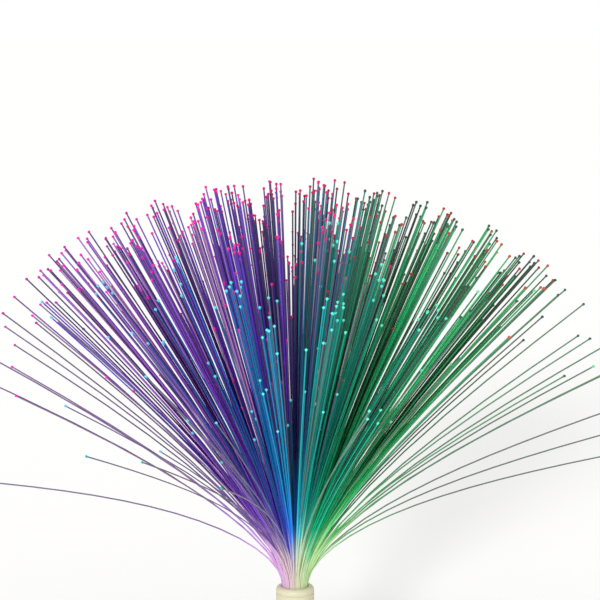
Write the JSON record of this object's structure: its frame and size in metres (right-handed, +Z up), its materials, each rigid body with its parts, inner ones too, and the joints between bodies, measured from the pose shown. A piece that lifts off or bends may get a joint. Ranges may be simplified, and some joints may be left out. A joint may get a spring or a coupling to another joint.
{
  "type": "fibre optic lamp",
  "caption": "Battery-powered table lamp: a dome of plastic optical fibres in a round collar, plugged into a base with a lit, turning colour wheel.",
  "frame": {"origin": "on the surface the lamp stands on, under the middle of the base", "axes": "+Z up along the lamp's axis, +X to the right as seen from the front, +Y to the rear, where the switch is"},
  "size_m": [0.4418, 0.434, 0.3265],
  "materials": {
    "shell_plastic": "cream moulded plastic, satin gloss",
    "inner_plastic": "ivory moulded plastic, matt",
    "black_plastic": "black moulded plastic, matt",
    "foot_rubber": "soft black rubber",
    "screw_steel": "zinc-plated steel",
    "contact_brass": "bright sheet brass",
    "cell_jacket": "dark printed film over a can, as heavy as a real cell",
    "board_laminate": "green lacquered laminate",
    "star_aluminium": "bare rolled aluminium",
    "emitter_resin": "white package with a pale yellow dome",
    "lens_acrylic": "clear acrylic, polished",
    "wheel_plastic": "white acetal",
    "filter_violet": "violet filter film",
    "filter_green": "green filter film",
    "filter_teal": "teal filter film",
    "filter_blue": "blue filter film",
    "lead_red": "red vinyl insulation",
    "lead_black": "black vinyl insulation",
    "fibre_violet": "lit optical fibre, violet",
    "fibre_blue": "lit optical fibre, blue",
    "fibre_teal": "lit optical fibre, teal",
    "fibre_green": "lit optical fibre, green"
  },
  "bodies": {
    "base": {"base_shell": "shell_plastic", "base_plate": "shell_plastic", "battery_box": "inner_plastic", "control_board": "board_laminate", "driver_chip": "black_plastic", "driver_capacitor": "star_aluminium", "led_star_board": "star_aluminium", "led_emitter": "emitter_resin", "led_lens": "lens_acrylic", "led_lens_holder": "black_plastic", "wheel_post": "black_plastic", "wheel_axle": "screw_steel", "axle_clip": "screw_steel", "gear_motor": "screw_steel", "power_switch_body": "black_plastic", "battery_lead_positive": "lead_red", "battery_lead_negative": "lead_black", "power_switch_lead_1": "lead_red", "power_switch_lead_2": "lead_black", "motor_lead_1": "lead_red", "motor_lead_2": "lead_black", "led_lead_1": "lead_red", "led_lead_2": "lead_black", "base_screw_1": "screw_steel", "rubber_foot_1": "foot_rubber", "base_screw_2": "screw_steel", "rubber_foot_2": "foot_rubber", "base_screw_3": "screw_steel", "rubber_foot_3": "foot_rubber", "base_screw_4": "screw_steel", "rubber_foot_4": "foot_rubber", "battery_cell_1": "cell_jacket", "battery_cell_2": "cell_jacket", "battery_cell_3": "cell_jacket", "control_board_screw_1": "screw_steel", "motor_screw_1": "screw_steel", "control_board_screw_2": "screw_steel", "motor_screw_2": "screw_steel", "battery_contact_positive": "contact_brass", "battery_contact_negative": "contact_brass", "battery_contact_front_bridge": "contact_brass", "battery_contact_rear_bridge": "contact_brass"},
    "spray": {"spray_collar": "shell_plastic", "fibres_violet": "fibre_violet", "fibres_blue": "fibre_blue", "fibres_teal": "fibre_teal", "fibres_green": "fibre_green"},
    "colour_wheel": {"colour_wheel": "wheel_plastic", "colour_filter_violet": "filter_violet", "colour_filter_green": "filter_green", "colour_filter_teal": "filter_teal", "colour_filter_blue": "filter_blue"},
    "motor_pinion": {"motor_pinion": "wheel_plastic"},
    "switch_slider": {"power_switch_slider": "black_plastic"},
    "battery_door": {"battery_door": "shell_plastic"},
    "door_screw": {"battery_door_screw": "screw_steel"}
  },
  "joints": [
    {"name": "spray_lift", "type": "slide", "parent": "base", "child": "spray", "axis": [0, 0, 1], "range_m": [0, 0.03]},
    {"name": "colour_wheel_spin", "type": "hinge", "parent": "base", "child": "colour_wheel", "pos_m": [0.00657, 0.01236, 0.0405], "axis": [0, 0, 1], "continuous": true},
    {"name": "motor_pinion_spin", "type": "hinge", "parent": "base", "child": "motor_pinion", "pos_m": [-0.02414, 0.00695, 0.0405], "axis": [0, 0, 1], "continuous": true},
    {"name": "power_switch_slide", "type": "slide", "parent": "base", "child": "switch_slider", "axis": [1, 0, 0], "range_m": [0, 0.004]},
    {"name": "battery_door_hinge", "type": "hinge", "parent": "base", "child": "battery_door", "pos_m": [0, -0.02595, 0.004], "axis": [-1, 0, 0], "range_deg": [0, 90]},
    {"name": "door_screw_travel", "type": "slide", "parent": "battery_door", "child": "door_screw", "axis": [0, 0, -1], "range_m": [0, 0.008]}
  ],
  "couplings": [
    {"joint": "motor_pinion_spin", "follows": "colour_wheel_spin", "ratio": -4}
  ]
}
